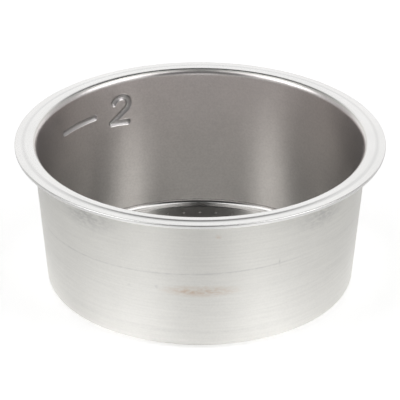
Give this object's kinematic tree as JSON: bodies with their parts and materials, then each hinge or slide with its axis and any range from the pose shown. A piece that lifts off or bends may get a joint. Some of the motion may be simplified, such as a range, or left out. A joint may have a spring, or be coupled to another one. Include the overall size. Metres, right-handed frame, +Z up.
{
  "type": "espresso filter basket",
  "caption": "Round tapered cup drawn from steel sheet, with a flat beaded rim to hang by, a perforated floor for the brew, and a pressed fill line beside a numeral.",
  "frame": {"origin": "centre of the floor's underside, which is the lowest face", "axes": "+Z up along the cup's axis, towards the open mouth; the fill line and the numeral are on the back left, towards -X and +Y"},
  "size_m": [0.06, 0.06, 0.0246],
  "materials": {
    "satin_steel": "satin"
  },
  "bodies": {
    "root": {"filter_basket": "satin_steel"}
  },
  "joints": []
}
